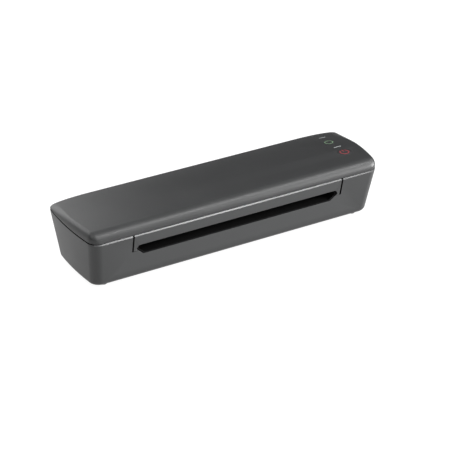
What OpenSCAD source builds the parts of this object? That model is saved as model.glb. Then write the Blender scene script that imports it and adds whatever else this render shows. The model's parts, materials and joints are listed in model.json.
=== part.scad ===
// Pouch laminator for A4 pouches: a tapered housing, an arched top cover, two heated silicone
// rollers on steel end frames, a geared synchronous motor and a jam release lever.
// X runs along the casing, Y from the front slot to the rear slot, Z up. The origin is on the
// table, under the middle of the casing.

/* [Casing] */
// Length of the casing at the parting line
case_length = 359.6; // [358:0.4:361.2]
// Depth of the casing at the parting line
case_depth = 105; // [104.6:0.2:106]
// Height of the parting line above the table
seam_height = 59; // [58.8:0.1:59.4]
// Height of the crown of the top cover above the table
crown_height = 70.5; // [70.4:0.1:72]
// Wall thickness of the housing and the covers
wall = 2.5; // [2.3:0.1:2.6]

/* [Pouch path] */
// Height of the pouch path above the table
nip_height = 38.5; // [38.4:0.1:38.6]
// Width of the slot mouths at their widest
mouth_width = 245; // [242:1:246]
// Clear height between the pouch guides
guide_gap = 5.4; // [5.2:0.1:5.6]

/* [Rollers and drive] */
// Diameter of the silicone rollers
roller_diameter = 19.6; // [19:0.1:19.7]
// Length of the silicone rollers
roller_length = 224; // [218:1:226]
// Diameter of the roller shafts
shaft_diameter = 8; // [6:0.5:8]

/* [Controls] */
// Diameter of the power button
button_diameter = 15; // [14:0.5:16]
// Diameter of the lit rings
ring_diameter = 11; // [10:0.5:12]
// Travel of the power button
button_travel = 0.8; // [0.5:0.1:1]

/* [Hidden] */
$fn = 48;

// Casing shape
floor_height = 2.6;
front_taper = 11.5;
back_taper = 9.4;
end_taper = 6.8;
front_corner_radius = 10;
back_corner_radius = 12;
back_corner_stretch = 4.2;
bottom_edge_radius = 5;
bulge_y = 16;
bulge_radius = 315;
seam_gap = 0.6;
ledge = 1.3;
end_ledge = 0.4;
tongue_thickness = 1.2;
crown_y = -38;
crown_radius = 413;
brow_radius = 10.5;
edge_lip = 0.8;
end_round_width = 6;
end_round_step = 15;
corner_step = 10;
side_steps = 8;
rim_height = 1.1;
tongue_drop = 3;
join = 0.5;

// Cuts through the front and the rear wall: where they start along Y, and their length
front_cut = [-60, 20];
rear_cut = [42, 20];
panel_root = -38;
cut_top = seam_height + 6;

// Slot mouths and the front visor
visor_width = 254;
visor_bottom = 38;
panel_gap = 0.3;
panel_side_gap = 1;
mouth_low = 32.5;
mouth_middle = 40.5;
mouth_high = 45;
mouth_foot_cut = 8.5;
mouth_head_cut = 3;
mouth_corner = 1.2;
liner_gap = 0.2;
liner_wall = 1.5;
liner_low = 29.5;
liner_high = 47.5;
liner_front = -47;
liner_face = -43.8;
liner_back = -37;
rear_liner_face = 45;
rear_liner_lip = 48;
rear_liner_back = 38.5;
slit_half = 116;
visor_rib_pitch = 50;
visor_rib = [[-48.5, 0], [-40, 0], [-40, 1.5], [-50.2, 7.5]];
guide_low = nip_height - guide_gap / 2;
guide_high = nip_height + guide_gap / 2;
guide_thickness = 2;
guide_skin = 1.6;
guide_rib_pitch = 25;
guide_rib_rises = [3, 1.2];

// Rollers, frames and drive: the teeth counts suit the places of the motor and its gear
gear_module = 1;
roller_teeth = 20;
motor_teeth = 16;
shaft_radius = shaft_diameter / 2;
running_gap = 0.05;
axle_spacing = gear_module * roller_teeth;
lower_z = nip_height - axle_spacing / 2;
upper_z = nip_height + axle_spacing / 2;
plate_x = 124;
plate_thickness = 1.5;
plate_half_depth = 30;
plate_top = 64;
plate_shoulder = 59;
lead_notch = [10, 4];
gear_x = -136;
gear_width = 6;
gear_backlash = 0.2;
motor_angle = -20;
motor_distance = gear_module * (roller_teeth + motor_teeth) / 2;
motor_axis = [motor_distance * cos(motor_angle), lower_z + motor_distance * sin(motor_angle)];
motor_centre = [6, 33];
motor_radius = 24;
motor_x = -160;
motor_length = 20;
motor_shaft_radius = 3;
ear_plate = [1, 4.5];
post_reach = 27;
post_radius = 3;
bush_half = 7;
bush_radius = 6;
bush_inset = 5.5;
bush_length = 10;
bush_top = upper_z + 6;
slot_top = 61;
holder_web = 1.5;
upper_rod_z = 59;
lower_rod_z = 20;
rod_depths = [-16, 16];
rod_places = [for (z = [lower_rod_z, upper_rod_z]) for (y = rod_depths) [y, z]];
rod_radius = 2;
rod_screw_radius = 1.5;
lug_places = [-60, 60];

// Heating: inner and outer radius of each shell, the pads and what is bonded to them
upper_shell_radii = [11.9, 13.2];
lower_shell_radii = [11, 12.5];
pad_half = 8;
pad_rise = 0.5;
pad_thickness = 2.5;
upper_pad = upper_z + upper_shell_radii[1] + pad_rise;
lower_pad = lower_z - lower_shell_radii[1] - pad_rise;
strip_half = [80, 7];
upper_strip_thickness = 1.6;
lower_strip_thickness = 2;
thermostat_x = 98;
fuse_x = 86;
fuse_radius = 1.4;

// Release lever and cams
cam_axis = [19, 48.58];
cam_radius = 4;
cam_throw = 3;
cam_rest_angle = -15;
cam_shaft_radius = 3;
ear_bottom = 52.1;
ear_thickness = 2.6;
ear_end = 27;
cam_width = 3.5;
lever_x = 129;
lever_width = 4;
lever_rest_angle = -30;
lever_reach = 34;
lever_height = 5;
tab_low = 27;
tab_high = 35;
tab_gap = 0.6;
tab_thickness = 2;
lever_hub_radius = 6;
lever_slot_x = 127.9;
lever_slot_width = 6.2;
lever_slot_low = 28.5;
lever_slot_high = 53;

// Fasteners, feet and supports, given as [x, y] on the casing
case_screw_places = [[-134, -30], [134, -30], [-140, 35.5], [140, 35.5]];
foot_places = [[-153.5, -31], [153.5, -31], [-153.5, 29.5], [153.5, 29.5]];
foot_radius = 4.5;
flange_screw_places = [[-117.5, -24], [-117.5, 24], [117.5, -24], [117.5, 24]];
flange_z = 12;
flange_reach = 13;
flange_width = 12;
flange_boss_radius = 4;
screw_radius = 1.5;
screw_clearance_radius = 1.8;
screw_head_radius = 2.8;
case_screw_z = 12;
case_screw_length = 34;
case_boss_radius = 5;
case_boss_top = 30;
counterbore_radius = 3.5;
cover_boss_radius = 4.4;
vent_places = [-84:12:84];
vent_half_width = 1.5;
vent_span = [-10, 22];

// Controls
power_place = [150.9, -16.7];
button_clearance = 0.35;
button_depth = 4.5;
button_tab = [2.2, 6, 1.2];
button_stem_radius = 2.2;
switch_height = 4.6;
ring_width = 1.1;
ring_depth = 2;
ready_place = [151.6, 16.5];
ready_lens_low = 61.4;
led_radius = 1.5;
board_bottom = 54;
board_thickness = 1.6;
board_top = board_bottom + board_thickness;
switch_top = board_top + switch_height;
board_size = [20, 61];
board_corner = [139, -30.5];
board_post_places = [[142, -27.5], [142, 27], [156, -27.5], [156, 27]];
board_post_radius = 2.6;
board_screw_radius = 1;
board_screw_length = 5;

// Cord gland in the rear wall, given as [x, z]
gland_place = [152, 20];
gland_bore_radius = 3.6;
gland_hole_radius = 5;
gland_boss_radius = 8;
gland_front = 41;
gland_back = 47;
// Collars that hold the gland in the wall, each given as [thickness, radius]
gland_inner_collar = [1.5, 6.2];
gland_outer_collar = [2, 7];
gland_seat_radius = 6.8;
gland_seat_depth = 6;

// Colours
charcoal = [0.27, 0.28, 0.29];
black = [0.05, 0.05, 0.05];
steel = [0.68, 0.69, 0.7];
aluminium = [0.8, 0.81, 0.82];
silicone = [0.75, 0.33, 0.2];
nylon = [0.9, 0.89, 0.84];

// ---- outline of the casing ----

// Half length of the casing at depth y: the ends bulge in a large arc
function end_x(y) = case_length / 2 - pow(y - bulge_y, 2) / (2 * bulge_radius);

// How far a corner of radius r is cut back at distance d from the side it turns into; the
// corners at the back are stretched along X
function corner_cut(d, r) = d >= r ? 0 : r - sqrt(r * r - (r - d) * (r - d));

// Share of the wall's taper that is used up at height z
function taper_share(z) = (seam_height - z) / (seam_height - floor_height);

// Outer face of the rear wall at height z
function back_wall_y(z) = case_depth / 2 - back_taper * taper_share(z);

function flipped(points) = [for (i = [len(points) - 1:-1:0]) [-points[i][0], points[i][1]]];

// Outline of the casing at height z, moved in by skin, counterclockwise
function outline(z, skin) =
    let (t = taper_share(z),
        front = -case_depth / 2 + front_taper * t + skin,
        back = back_wall_y(z) - skin,
        rf = front_corner_radius - skin * 0.7,
        rb = back_corner_radius - skin * 0.7,
        depths = concat(
            [for (a = [0:corner_step:90]) front + rf * (1 - cos(a))],
            [for (i = [1:side_steps - 1])
                front + rf + (back - rb - front - rf) * i / side_steps],
            [for (a = [90:-corner_step:0]) back - rb * (1 - cos(a))]),
        right = [for (y = depths)
            [end_x(y) - end_taper * t - skin - corner_cut(y - front, rf)
                - back_corner_stretch * corner_cut(back - y, rb), y]])
    concat(right, flipped(right));

// Solid through a stack of [height, outline] layers with equal point counts
module loft(layers) {
    n = len(layers[0][1]);
    points = [for (layer = layers) for (p = layer[1]) [p[0], p[1], layer[0]]];
    sides = [for (k = [0:len(layers) - 2]) for (i = [0:n - 1])
        let (j = (i + 1) % n, low = k * n, high = (k + 1) * n)
        for (face = [[low + i, high + i, high + j], [low + i, high + j, low + j]]) face];
    bottom = [for (i = [0:n - 1]) i];
    top = [for (i = [n - 1:-1:0]) (len(layers) - 1) * n + i];
    polyhedron(points, concat([bottom], sides, [top]));
}

// Housing walls and floor as one solid, up to the parting line
module housing_block() {
    r = bottom_edge_radius;
    bottom_up = [for (a = [0:22.5:90])
        let (z = floor_height + r * (1 - cos(a)), skin = r * (1 - sin(a)))
        [z, outline(z, skin)]];
    loft(concat(bottom_up, [[seam_height - ledge, outline(seam_height - ledge, 0)],
        [seam_height, outline(seam_height, ledge / 3)]]));
}

module housing_cavity() {
    low = floor_height + wall;
    loft([[low, outline(low, wall + 1)], [low + 2, outline(low + 2, wall)],
        [seam_height + 1, outline(seam_height + 1, wall)]]);
}

// ---- drawing helpers ----

// Extrudes a shape drawn as [y, z] from x0 along X
module along_x(x0, length) {
    translate([x0, 0, 0]) rotate([90, 0, 90]) linear_extrude(length) children();
}

// Extrudes a shape drawn as [x, z] from y0 along Y
module along_y(y0, length) {
    translate([0, y0 + length, 0]) rotate([90, 0, 0]) linear_extrude(length) children();
}

module disc_at(place, r) {
    translate(place) circle(r);
}

module rod_x(x0, length, place, r) {
    along_x(x0, length) disc_at(place, r);
}

module tube_z(place, z0, z1, r_out, r_in) {
    translate([place[0], place[1], z0]) difference() {
        cylinder(h = z1 - z0, r = r_out);
        translate([0, 0, -1]) cylinder(h = z1 - z0 + 2, r = r_in);
    }
}

module pin_z(place, z0, z1, r) {
    translate([place[0], place[1], z0]) cylinder(h = z1 - z0, r = r);
}

module block(low, high) {
    translate(low) cube(high - low);
}

// Copies its children to the other end of the casing as well
module both_ends() {
    children();
    mirror([1, 0, 0]) children();
}

// Closed outline with its corners rounded over a reach on both sides
function rounded(points, reach) = [for (i = [0:len(points) - 1])
    let (n = len(points), p = points[i],
        a = p + reach * unit(points[(i + n - 1) % n] - p),
        b = p + reach * unit(points[(i + 1) % n] - p))
    for (t = [0:0.25:1]) (1 - t) * (1 - t) * a + 2 * t * (1 - t) * p + t * t * b];

// Slot mouth drawn as [x, z], with pointed ends, moved in by skin
module mouth_shape(skin) {
    tip = mouth_width / 2 - 1.2 * skin;
    right = [[tip - mouth_foot_cut, mouth_low + skin], [tip, mouth_middle],
        [tip - mouth_head_cut, mouth_high - skin]];
    polygon(rounded(concat(right, flipped(right)), mouth_corner));
}

// Cutting a corner off a polyline again and again rounds it
function cut_corners(path, times) = times == 0 ? path :
    cut_corners(concat([path[0]],
        [for (i = [0:len(path) - 2]) for (t = [0.25, 0.75])
            path[i] * (1 - t) + path[i + 1] * t],
        [path[len(path) - 1]]), times - 1);

function unit(v) = v / norm(v);

// Tube of radius r along a path, with n sides
module tube_along(path, r, n) {
    last = len(path) - 1;
    aside = unit([0.31, 0.52, 0.79]);
    points = [for (i = [0:last])
        let (along = unit(path[min(i + 1, last)] - path[max(i - 1, 0)]),
            u = unit(cross(along, aside)),
            v = cross(along, u))
        for (k = [0:n - 1]) path[i] + r * (cos(360 * k / n) * u + sin(360 * k / n) * v)];
    sides = [for (i = [0:last - 1]) for (k = [0:n - 1])
        let (m = (k + 1) % n, a = i * n, b = (i + 1) * n)
        for (face = [[a + k, b + k, b + m], [a + k, b + m, a + m]]) face];
    start = [for (k = [0:n - 1]) k];
    finish = [for (k = [n - 1:-1:0]) last * n + k];
    polyhedron(points, concat([start], sides, [finish]));
}

// ---- casing ----

module lower_housing() {
    color(charcoal) difference() {
        union() {
            difference() {
                housing_block();
                housing_cavity();
            }
            for (p = case_screw_places)
                pin_z(p, floor_height + join, case_boss_top, case_boss_radius);
            for (p = flange_screw_places)
                pin_z(p, floor_height + join, flange_z, flange_boss_radius);
            along_y(gland_front, gland_back - gland_front) disc_at(gland_place, gland_boss_radius);
        }
        block([-visor_width / 2, front_cut[0], visor_bottom], [visor_width / 2, panel_root, cut_top]);
        along_y(front_cut[0], front_cut[1]) mouth_shape(0);
        along_y(rear_cut[0], rear_cut[1]) mouth_shape(0);
        block([lever_slot_x, rear_cut[0], lever_slot_low],
            [lever_slot_x + lever_slot_width, rear_cut[0] + rear_cut[1], lever_slot_high]);
        along_y(gland_front - 1, gland_back - gland_front + 2)
            disc_at(gland_place, gland_hole_radius);
        along_y(gland_front - gland_seat_depth, gland_seat_depth)
            disc_at(gland_place, gland_seat_radius);
        for (p = case_screw_places) {
            pin_z(p, 0, case_screw_z, counterbore_radius);
            pin_z(p, 0, case_boss_top + 1, screw_clearance_radius);
        }
        for (p = flange_screw_places)
            pin_z(p, floor_height + 2, flange_z + 1, screw_radius);
        for (x = vent_places)
            block([x - vent_half_width, vent_span[0], 0],
                [x + vent_half_width, vent_span[1], floor_height + wall + 1]);
    }
}

function crown_z(y) = crown_height - pow(y - crown_y, 2) / (2 * crown_radius);

// Cross-section of the top cover as [y, z], moved in by skin, down to height low
function cover_profile(skin, low) =
    let (front = -case_depth / 2 + ledge,
        back = case_depth / 2 - ledge - skin,
        brow_y = front + brow_radius,
        brow_z = crown_z(brow_y) - brow_radius,
        r = brow_radius - skin,
        steps = 12)
    concat([[front + skin, low]],
        [for (a = [180:-10:90]) [brow_y + r * cos(a), brow_z + r * sin(a)]],
        [for (i = [1:steps])
            let (y = brow_y + (back - brow_y) * i / steps)
            [y, crown_z(y) - skin]],
        [[back, low]]);

// Round body about the arc of the right end, with a rounded upper edge along that end
module end_round(skin, low) {
    lip = seam_height + seam_gap + edge_lip - skin;
    rise = crown_height - lip;
    edge = [for (a = [0:end_round_step:90])
        [bulge_radius - end_round_width * (1 - cos(a)), lip + rise * sin(a)]];
    outer = 2 * edge[0] - edge[1];
    inner_radius = bulge_radius - end_round_width;
    translate([case_length / 2 - bulge_radius, bulge_y, 0]) rotate_extrude($fn = 180)
        polygon(concat([[0, low - 1], [outer[0], low - 1], outer], edge,
            [[inner_radius, crown_height + 1], [0, crown_height + 1]]));
}

module cover_block(skin, low) {
    intersection() {
        along_x(-case_length, 2 * case_length) polygon(cover_profile(skin, low));
        translate([0, 0, low]) linear_extrude(crown_height)
            polygon(outline(seam_height, end_ledge + skin));
        end_round(skin, low);
        mirror([1, 0, 0]) end_round(skin, low);
    }
}

// Rim between two insets of the casing's outline, from z0 up
module rim(skin_out, skin_in, z0, height) {
    translate([0, 0, z0]) linear_extrude(height) difference() {
        polygon(outline(seam_height, skin_out));
        polygon(outline(seam_height, skin_in));
    }
}

module top_cover() {
    low = seam_height + seam_gap;
    tongue_skin = wall + 0.9;
    tongue_back = tongue_skin + tongue_thickness;
    color(charcoal) difference() {
        union() {
            difference() {
                cover_block(0, low);
                cover_block(wall, low - 1);
            }
            rim(ledge + join, tongue_back, low, rim_height);
            rim(tongue_skin, tongue_back, low - tongue_drop, tongue_drop + join);
            for (p = case_screw_places)
                pin_z(p, case_boss_top + 0.2, crown_z(p[1]) - wall + join, cover_boss_radius);
            for (p = board_post_places)
                pin_z(p, board_top, crown_z(p[1]) - wall + join, board_post_radius);
        }
        for (p = case_screw_places)
            pin_z(p, case_boss_top, case_screw_z + case_screw_length + 2, screw_radius);
        for (p = board_post_places)
            pin_z(p, board_top - 1, board_bottom + board_screw_length + 1, board_screw_radius);
        pin_z(power_place, seam_height, crown_height + 1, button_diameter / 2 + button_clearance);
        pin_z(ready_place, seam_height, crown_height + 1, ring_diameter / 2);
    }
}

module front_visor() {
    half = visor_width / 2 - panel_side_gap;
    low = visor_bottom + panel_gap;
    color(charcoal) {
        difference() {
            intersection() {
                difference() {
                    housing_block();
                    housing_cavity();
                }
                block([-half, front_cut[0], low], [half, panel_root, cut_top]);
            }
            along_y(front_cut[0], front_cut[1]) mouth_shape(0);
        }
        // ribs that rest on the exit mouth
        for (i = [-2:2])
            along_x(i * visor_rib_pitch - 1, 2)
                polygon([for (corner = visor_rib) [corner[0], liner_high + corner[1]]]);
    }
}

// Funnel between a slot mouth and the pouch guides; y_mouth is its outer side
module funnel(y_mouth, y_throat) {
    thin = 0.2;
    hull() {
        along_y(min(y_mouth, y_mouth + sign(y_mouth)), 1) mouth_shape(liner_wall);
        block([-slit_half, y_throat - thin / 2, guide_low], [slit_half, y_throat + thin / 2, guide_high]);
    }
    block([-slit_half, min(y_throat, 0), guide_low], [slit_half, max(y_throat, 0), guide_high]);
}

module exit_mouth() {
    color(black) difference() {
        union() {
            along_y(liner_front, liner_face - liner_front + 1) mouth_shape(liner_gap);
            block([-visor_width / 2 + liner_wall, liner_face, liner_low],
                [visor_width / 2 - liner_wall, liner_back, liner_high]);
        }
        funnel(liner_front, liner_back - 2);
    }
}

module entry_mouth() {
    color(black) difference() {
        union() {
            along_y(rear_liner_face - 1, rear_liner_lip - rear_liner_face + 1) mouth_shape(liner_gap);
            block([-visor_width / 2 + liner_wall, rear_liner_back, liner_low],
                [visor_width / 2 - liner_wall, rear_liner_face, liner_high]);
        }
        funnel(rear_liner_lip, rear_liner_back + 2);
    }
}

module rubber_feet() {
    color(black) for (p = foot_places)
        translate([p[0], p[1], 0]) {
            cylinder(h = 1, r1 = foot_radius - 0.5, r2 = foot_radius);
            translate([0, 0, 1]) cylinder(h = floor_height - 1, r = foot_radius);
        }
}

// Screw pointing up: its head is under height z
module screw_up(place, z, length, r) {
    difference() {
        union() {
            pin_z(place, z - 2 * r, z, 2 * r);
            pin_z(place, z, z + length, r);
        }
        pin_z(place, z - 2 * r - 1, z - r, r * 0.9, $fn = 6);
    }
}

// Screw pointing down: its head is on height z
module screw_down(place, z, length, r) {
    translate([0, 0, 2 * z]) mirror([0, 0, 1]) screw_up(place, z, length, r);
}

module case_screws() {
    color(steel) for (p = case_screw_places)
        screw_up(p, case_screw_z, case_screw_length, screw_radius);
}

// ---- end frames ----

// Plate drawn as [y, z], with a slot for the sliding bush and holes for the bush, rods and cams
module plate_shape() {
    difference() {
        polygon([[-plate_half_depth, flange_z], [plate_half_depth, flange_z],
            [plate_half_depth, plate_shoulder], [bush_half + 4, plate_top],
            [-plate_half_depth, plate_top]]);
        disc_at([0, lower_z], bush_radius);
        translate([-bush_half - 0.1, upper_z - bush_half - 0.2])
            square([2 * bush_half + 0.2, slot_top - upper_z + bush_half + 0.2]);
        for (p = rod_places)
            disc_at(p, rod_screw_radius + 0.1);
        disc_at(cam_axis, cam_shaft_radius + running_gap);
        translate([-lead_notch[0] / 2, flange_z - 1]) square(lead_notch);
    }
}

module frame_plate() {
    difference() {
        union() {
            along_x(plate_x, plate_thickness) plate_shape();
            for (y = [-plate_half_depth, plate_half_depth - flange_width])
                block([plate_x - flange_reach, y, flange_z],
                    [plate_x + join, y + flange_width, flange_z + plate_thickness]);
        }
        for (p = flange_screw_places)
            pin_z(p, flange_z - 1, flange_z + plate_thickness + 1, screw_clearance_radius);
    }
}

module left_frame_plate() {
    color(steel) difference() {
        mirror([1, 0, 0]) frame_plate();
        for (place = motor_post_places())
            rod_x(-plate_x - 6, 10, place, screw_radius);
    }
}

module right_frame_plate() {
    color(steel) frame_plate();
}

module frame_screws() {
    top = flange_z + plate_thickness;
    color(steel) {
        for (p = flange_screw_places)
            screw_down(p, top, top - floor_height - 2, screw_radius);
        both_ends() for (p = rod_places) {
            rod_x(plate_x, plate_thickness + 1, p, rod_screw_radius);
            rod_x(plate_x + plate_thickness, 1.8, p, screw_head_radius);
        }
    }
}

module tie_rods() {
    color(steel) for (p = rod_places)
        rod_x(-plate_x, 2 * plate_x, p, rod_radius);
}

module lower_bushes() {
    color(nylon) both_ends() difference() {
        union() {
            rod_x(plate_x - 1, plate_thickness + 2, [0, lower_z], bush_radius);
            rod_x(plate_x - 2.5, 2.5, [0, lower_z], bush_radius + 1.5);
        }
        rod_x(plate_x - 5, 12, [0, lower_z], shaft_radius + running_gap);
    }
}

// Blocks that slide in the plates and carry the upper roller; the ears rest over the cams
module upper_bushes() {
    color(nylon) both_ends() difference() {
        union() {
            block([plate_x - bush_inset, -bush_half, upper_z - bush_half],
                [plate_x - bush_inset + bush_length, bush_half, bush_top]);
            block([plate_x - bush_inset, bush_half - 1, ear_bottom],
                [plate_x - bush_inset + cam_width, ear_end, ear_bottom + ear_thickness]);
        }
        rod_x(plate_x - 8, 16, [0, upper_z], shaft_radius + running_gap);
    }
}

module spring_holders() {
    color(nylon) both_ends() difference() {
        block([plate_x - bush_inset, -bush_half, slot_top - holder_web],
            [plate_x - bush_inset + bush_length, bush_half, plate_top + 0.8]);
        block([plate_x, -bush_half - 1, slot_top],
            [plate_x + plate_thickness, bush_half + 1, plate_top + 2]);
    }
}

// Coil springs that press the sliding bushes down
module pressure_springs() {
    turns = 2.5;
    wire = 0.4;
    mean_radius = 3;
    steps = 16;
    low = bush_top + wire + 0.02;
    rise = slot_top - holder_web - wire - 0.02 - low;
    for (x = [-1, 1] * (plate_x + plate_thickness / 2))
        color(steel) tube_along([for (i = [0:turns * steps])
            [x + mean_radius * cos(360 * i / steps), mean_radius * sin(360 * i / steps),
                low + rise * i / (turns * steps)]], wire, 6);
}

// ---- rollers and drive ----

module roller_sleeve(z) {
    color(silicone) along_x(-roller_length / 2, roller_length) difference() {
        disc_at([0, z], roller_diameter / 2);
        disc_at([0, z], shaft_radius);
    }
}

module roller_shaft(z) {
    color(steel) rod_x(gear_x - 3, plate_x + 7 - gear_x + 3, [0, z], shaft_radius);
}

module shaft_clips(z) {
    color(steel) for (x = [gear_x - 1.2, plate_x + 5])
        along_x(x, 1) difference() {
            disc_at([0, z], shaft_radius + 2);
            disc_at([0, z], shaft_radius);
            translate([-1.5, z - shaft_radius - 3]) square([3, 4]);
        }
}

function involute(base, r) = let (a = acos(base / r)) tan(a) * 180 / PI - a;

// Gear outline: flanks are involutes with a 20 degree pressure angle
function gear_points(teeth, m, phase) =
    let (pitch = m * teeth / 2,
        base = pitch * cos(20),
        tip = pitch + m,
        root = pitch - 1.25 * m,
        start = max(base, root) + 0.001,
        half = 90 / teeth - gear_backlash / 2 / pitch * 180 / PI / 2,
        radii = [for (i = [0:3]) start + (tip - start) * i / 3],
        angles = [for (r = radii) half + involute(base, pitch) - involute(base, r)])
    [for (k = [0:teeth - 1])
        let (mid = phase + 360 * k / teeth)
        for (p = concat([[root, mid - angles[0] - 0.4]],
            [for (i = [0:3]) [radii[i], mid - angles[i]]],
            [for (i = [3:-1:0]) [radii[i], mid + angles[i]]],
            [[root, mid + angles[0] + 0.4]]))
        p[0] * [cos(p[1]), sin(p[1])]];

module gear(teeth, place, phase, bore) {
    color(nylon) {
        along_x(gear_x, gear_width) difference() {
            translate(place) polygon(gear_points(teeth, gear_module, phase));
            disc_at(place, bore);
            if (teeth == roller_teeth)
                for (a = [0:60:300])
                    disc_at(place + 6.3 * [cos(a), sin(a)], 1.1);
        }
    }
}

module motor_gear() {
    gear(motor_teeth, motor_axis, 180 / motor_teeth, motor_shaft_radius);
}

module motor_output_shaft() {
    start = motor_x + motor_length - 3.5;
    color(steel) rod_x(start, gear_x + gear_width + 1 - start, motor_axis, motor_shaft_radius);
}

function motor_post_places() = [for (s = [-1, 1])
    motor_centre + s * post_reach * [cos(45), sin(45)]];

module motor() {
    face = motor_x + motor_length;
    ear_x = face - 1.2;
    color(steel) difference() {
        union() {
            rod_x(motor_x, motor_length, motor_centre, motor_radius);
            for (place = motor_post_places())
                rod_x(ear_x, ear_plate[0], place, ear_plate[1] + join);
            along_x(ear_x, ear_plate[0]) translate(motor_centre) rotate(45)
                translate([-post_reach, -ear_plate[1]]) square([2 * post_reach, 2 * ear_plate[1]]);
        }
        for (place = motor_post_places())
            rod_x(face - 3, 6, place, screw_radius);
        rod_x(face - 4, 6, motor_axis, motor_shaft_radius + running_gap);
    }
}

module motor_posts() {
    face = motor_x + motor_length - 0.2;
    color(steel) for (place = motor_post_places())
        along_x(face, -plate_x - plate_thickness - face) difference() {
            disc_at(place, post_radius);
            disc_at(place, screw_radius);
        }
}

module motor_screws() {
    face = motor_x + motor_length - 1.2;
    color(steel) for (place = motor_post_places()) {
        rod_x(face - 2, 2, place, screw_head_radius);
        rod_x(face, 8, place, screw_radius);
    }
}

// ---- heating ----

// Curved shell around a roller; side is 1 for the upper one and -1 for the lower one
module heat_shell(z, side, r_in, r_out, rod_z) {
    half = roller_length / 2;
    pad = z + side * (r_out + pad_rise);
    pad_root = pad - side * pad_thickness;
    color(aluminium) {
        difference() {
            union() {
                along_x(-half, 2 * half) difference() {
                    disc_at([0, z], r_out);
                    translate([-20, side > 0 ? z - 40 : z - 5]) square([40, 45]);
                }
                block([-half, -pad_half, min(pad, pad_root)], [half, pad_half, max(pad, pad_root)]);
                for (x = lug_places) for (y = rod_depths) {
                    block([x - 4, min(y, 0), rod_z - 3], [x + 4, max(y, 0), rod_z + 3]);
                    rod_x(x - 4, 8, [y, rod_z], 3);
                }
            }
            rod_x(-half - 1, 2 * half + 2, [0, z], r_in);
            for (y = rod_depths)
                rod_x(-half - 1, 2 * half + 2, [y, rod_z], rod_radius);
        }
    }
}

module upper_heat_shell() {
    heat_shell(upper_z, 1, upper_shell_radii[0], upper_shell_radii[1], upper_rod_z);
}

module lower_heat_shell() {
    heat_shell(lower_z, -1, lower_shell_radii[0], lower_shell_radii[1], lower_rod_z);
}

module upper_heater_strip() {
    color(black) block([-strip_half[0], -strip_half[1], upper_pad],
        [strip_half[0], strip_half[1], upper_pad + upper_strip_thickness]);
}

module lower_heater_strip() {
    color(black) block([-strip_half[0], -strip_half[1], lower_pad - lower_strip_thickness],
        [strip_half[0], strip_half[1], lower_pad]);
}

module thermostat() {
    cap = lower_pad - 1;
    body = lower_pad - 5;
    color(black) pin_z([thermostat_x, 0], body, cap, 7);
    color(steel) {
        pin_z([thermostat_x, 0], cap, lower_pad, 8);
        for (y = [-4, 4])
            block([thermostat_x - 0.5, y - 1.5, body - 2], [thermostat_x + 0.5, y + 1.5, body]);
    }
}

module thermal_fuse() {
    place = [0, upper_pad + fuse_radius];
    color(steel) rod_x(fuse_x, 14, place, fuse_radius);
    color(nylon) rod_x(fuse_x - 2, 2, place, 0.6);
}

// ---- pouch guides ----

// Flat guide between the frame plates; low and high bound it, y0 and y1 are its edges
module guide(y0, y1, low, high, rib_side) {
    color(black) {
        block([-plate_x, y0, low], [plate_x, y1, high]);
        for (i = [-4:4])
            block([i * guide_rib_pitch - 1, y0 + 2, rib_side > 0 ? high : low - guide_rib_rises[0]],
                [i * guide_rib_pitch + 1, y1 - 2, rib_side > 0 ? high + guide_rib_rises[1] : low]);
    }
}

module exit_guide_upper() {
    guide(liner_back, -12, guide_high, guide_high + guide_skin, 1);
}

module exit_guide_lower() {
    guide(liner_back, -11.5, guide_low - guide_thickness, guide_low, -1);
}

module entry_guide_upper() {
    color(black) block([-plate_x, 12, guide_high],
        [plate_x, rear_liner_back, guide_high + guide_skin]);
}

module entry_guide_lower() {
    guide(11.5, rear_liner_back, guide_low - guide_thickness, guide_low, -1);
}

// ---- release lever ----

module release_cam_shaft() {
    offset_place = cam_axis + cam_throw * [cos(cam_rest_angle), sin(cam_rest_angle)];
    color(steel) rod_x(-plate_x - 3, 2 * plate_x + 12, cam_axis, cam_shaft_radius);
    color(nylon) for (x = [-plate_x + bush_inset - cam_width, plate_x - bush_inset])
        along_x(x, cam_width) difference() {
            disc_at(offset_place, cam_radius);
            disc_at(cam_axis, cam_shaft_radius);
        }
}

// Arm that passes through the rear wall and ends in a thumb tab along that wall
module release_lever() {
    color(black) difference() {
        union() {
            rod_x(lever_x - 1.5, lever_width + 2, cam_axis, lever_hub_radius);
            along_x(lever_x, lever_width) translate(cam_axis) rotate(lever_rest_angle)
                translate([0, -lever_height / 2]) square([lever_reach, lever_height]);
            along_x(lever_x - 3, lever_width + 6)
                polygon([for (corner = [[tab_low, 0], [tab_low, 1], [tab_high, 1], [tab_high, 0]])
                    [back_wall_y(corner[0]) + tab_gap + corner[1] * tab_thickness, corner[0]]]);
        }
        rod_x(lever_x - 5, 12, cam_axis, cam_shaft_radius);
    }
}

// ---- controls ----

// Part of the top cover's skin, thick deep, that stands over a round place
module skin_disc(place, r, thick) {
    intersection() {
        cover_block(0, seam_height);
        pin_z(place, board_top, crown_height + 1, r);
        along_x(-case_length, 2 * case_length) difference() {
            polygon(cover_profile(0, board_top));
            translate([0, -thick]) polygon(cover_profile(0, board_top));
        }
    }
}

module power_button() {
    top = crown_z(power_place[1]);
    color(charcoal) difference() {
        union() {
            skin_disc(power_place, button_diameter / 2, button_depth);
            // snap tabs under the top cover
            translate([power_place[0], power_place[1], top - button_depth - 0.1])
                cube([button_diameter + button_tab[0], button_tab[1], button_tab[2]], center = true);
            pin_z(power_place, switch_top + button_travel + 0.2, top - button_depth + join,
                button_stem_radius);
        }
        tube_z(power_place, top - ring_depth, crown_height + 1, ring_diameter / 2,
            ring_diameter / 2 - ring_width);
    }
}

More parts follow.
